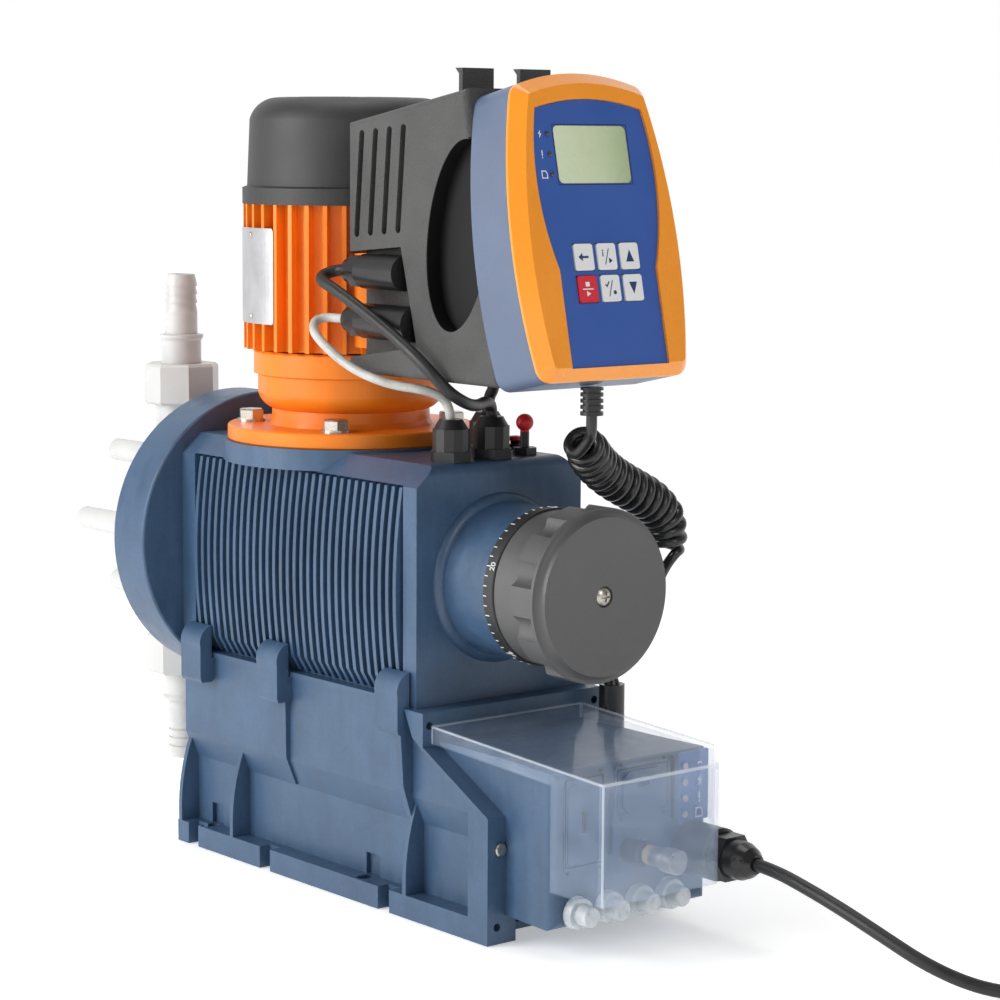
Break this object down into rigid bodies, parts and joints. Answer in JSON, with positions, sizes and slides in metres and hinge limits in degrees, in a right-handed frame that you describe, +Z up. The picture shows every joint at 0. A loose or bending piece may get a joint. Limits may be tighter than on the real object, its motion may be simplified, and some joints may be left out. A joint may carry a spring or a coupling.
{
  "type": "diaphragm metering pump",
  "caption": "Motor-driven diaphragm metering pump with finned gear housing, stroke knob, tilted keypad unit, clear plug hood and hose nozzles.",
  "frame": {"origin": "centre of the base footprint, on its underside, below the stroke axis", "axes": "+Z up along the motor and valve axes; the stroke knob and keypad face -Y and the dosing head faces +Y; +X to the right seen from the knob"},
  "size_m": [0.2891, 0.7762, 0.448],
  "materials": {
    "housing_blue": "satin",
    "motor_orange": "gloss",
    "cowl_grey": "satin",
    "black_plastic": "satin",
    "white_plastic": "satin",
    "clear_plastic": "clear",
    "shell_orange": "gloss",
    "panel_blue": "satin",
    "key_white": "satin",
    "key_red": "satin",
    "display_green": "gloss",
    "steel": "satin",
    "brass": "satin",
    "rubber_black": "matte",
    "lead_grey": "satin"
  },
  "bodies": {
    "pump": {"base_foot": "housing_blue", "gear_housing": "housing_blue", "terminal_box": "housing_blue", "head_disc": "housing_blue", "unit_rear_shell": "housing_blue", "access_covers": "housing_blue", "motor_flange": "motor_orange", "stator_housing": "motor_orange", "fan_cowl": "cowl_grey", "converter_housing": "black_plastic", "lead_plugs": "black_plastic", "top_glands": "black_plastic", "cord_boot": "black_plastic", "cord_plug": "black_plastic", "mains_connector": "black_plastic", "mains_plug": "black_plastic", "dosing_head": "white_plastic", "discharge_valve_seat": "white_plastic", "discharge_union_nut": "white_plastic", "discharge_nozzle": "white_plastic", "suction_valve_seat": "white_plastic", "suction_union_nut": "white_plastic", "suction_nozzle": "white_plastic", "socket_caps": "white_plastic", "unit_front_shell": "shell_orange", "keypad_panel": "panel_blue", "display_window": "display_green", "head_screws": "steel", "cover_screws": "steel", "flange_bolts": "steel", "backplate": "steel", "bearings": "steel", "return_spring": "steel", "signal_plug": "steel", "power_lead": "rubber_black", "link_lead": "rubber_black", "curly_cord": "rubber_black", "mains_cable": "rubber_black", "mains_coil": "rubber_black", "signal_lead": "lead_grey"},
    "rotor": {"rotor_shaft": "steel", "fan": "black_plastic"},
    "cam": {"eccentric_shaft": "steel", "worm_wheel": "brass"},
    "push_rod": {"push_rod": "steel", "diaphragm": "rubber_black"},
    "knob": {"stroke_knob": "cowl_grey", "dial_ring": "cowl_grey", "knob_screw": "steel"},
    "spindle": {"adjusting_spindle": "steel"},
    "hood": {"hood": "clear_plastic"},
    "release_tabs": {"release_tabs": "black_plastic"},
    "discharge_ball": {"discharge_ball": "steel"},
    "suction_ball": {"suction_ball": "steel"},
    "key_start": {"key_start": "key_red"},
    "key_enter": {"key_enter": "key_white"},
    "key_down": {"key_down": "key_white"},
    "key_escape": {"key_escape": "key_white"},
    "key_info": {"key_info": "key_white"},
    "key_up": {"key_up": "key_white"}
  },
  "joints": [
    {"name": "rotor_turn", "type": "hinge", "parent": "pump", "child": "rotor", "pos_m": [0, 0.054, 0.3], "axis": [0, 0, 1], "continuous": true},
    {"name": "cam_turn", "type": "hinge", "parent": "pump", "child": "cam", "pos_m": [0, 0.016, 0.178], "axis": [1, 0, 0], "continuous": true},
    {"name": "rod_slide", "type": "slide", "parent": "pump", "child": "push_rod", "axis": [0, 1, 0], "range_m": [0, 0.004], "stiffness_N_per_m": 400},
    {"name": "knob_turn", "type": "hinge", "parent": "pump", "child": "knob", "pos_m": [0, -0.14, 0.178], "axis": [0, -1, 0], "range_deg": [0, 1440]},
    {"name": "spindle_slide", "type": "slide", "parent": "pump", "child": "spindle", "axis": [0, -1, 0], "range_m": [0, 0.004]},
    {"name": "hood_slide", "type": "slide", "parent": "pump", "child": "hood", "axis": [0, -1, 0], "range_m": [0, 0.04]},
    {"name": "tab_pivot", "type": "hinge", "parent": "pump", "child": "release_tabs", "pos_m": [0, -0.082, 0.4255], "axis": [1, 0, 0], "range_deg": [-6, 6], "stiffness_Nm_per_rad": 0.3},
    {"name": "discharge_ball_lift", "type": "slide", "parent": "pump", "child": "discharge_ball", "axis": [0, 0, 1], "range_m": [0, 0.003]},
    {"name": "suction_ball_lift", "type": "slide", "parent": "pump", "child": "suction_ball", "axis": [0, 0, 1], "range_m": [0, 0.003]},
    {"name": "key_start_press", "type": "slide", "parent": "pump", "child": "key_start", "axis": [0, 0.9781, -0.2079], "range_m": [0, 0.001], "stiffness_N_per_m": 500},
    {"name": "key_enter_press", "type": "slide", "parent": "pump", "child": "key_enter", "axis": [0, 0.9781, -0.2079], "range_m": [0, 0.001], "stiffness_N_per_m": 500},
    {"name": "key_down_press", "type": "slide", "parent": "pump", "child": "key_down", "axis": [0, 0.9781, -0.2079], "range_m": [0, 0.001], "stiffness_N_per_m": 500},
    {"name": "key_escape_press", "type": "slide", "parent": "pump", "child": "key_escape", "axis": [0, 0.9781, -0.2079], "range_m": [0, 0.001], "stiffness_N_per_m": 500},
    {"name": "key_info_press", "type": "slide", "parent": "pump", "child": "key_info", "axis": [0, 0.9781, -0.2079], "range_m": [0, 0.001], "stiffness_N_per_m": 500},
    {"name": "key_up_press", "type": "slide", "parent": "pump", "child": "key_up", "axis": [0, 0.9781, -0.2079], "range_m": [0, 0.001], "stiffness_N_per_m": 500}
  ],
  "couplings": [
    {"joint": "cam_turn", "follows": "rotor_turn", "ratio": 0.025},
    {"joint": "spindle_slide", "follows": "knob_turn", "m_per_rad": 0.00015915}
  ]
}
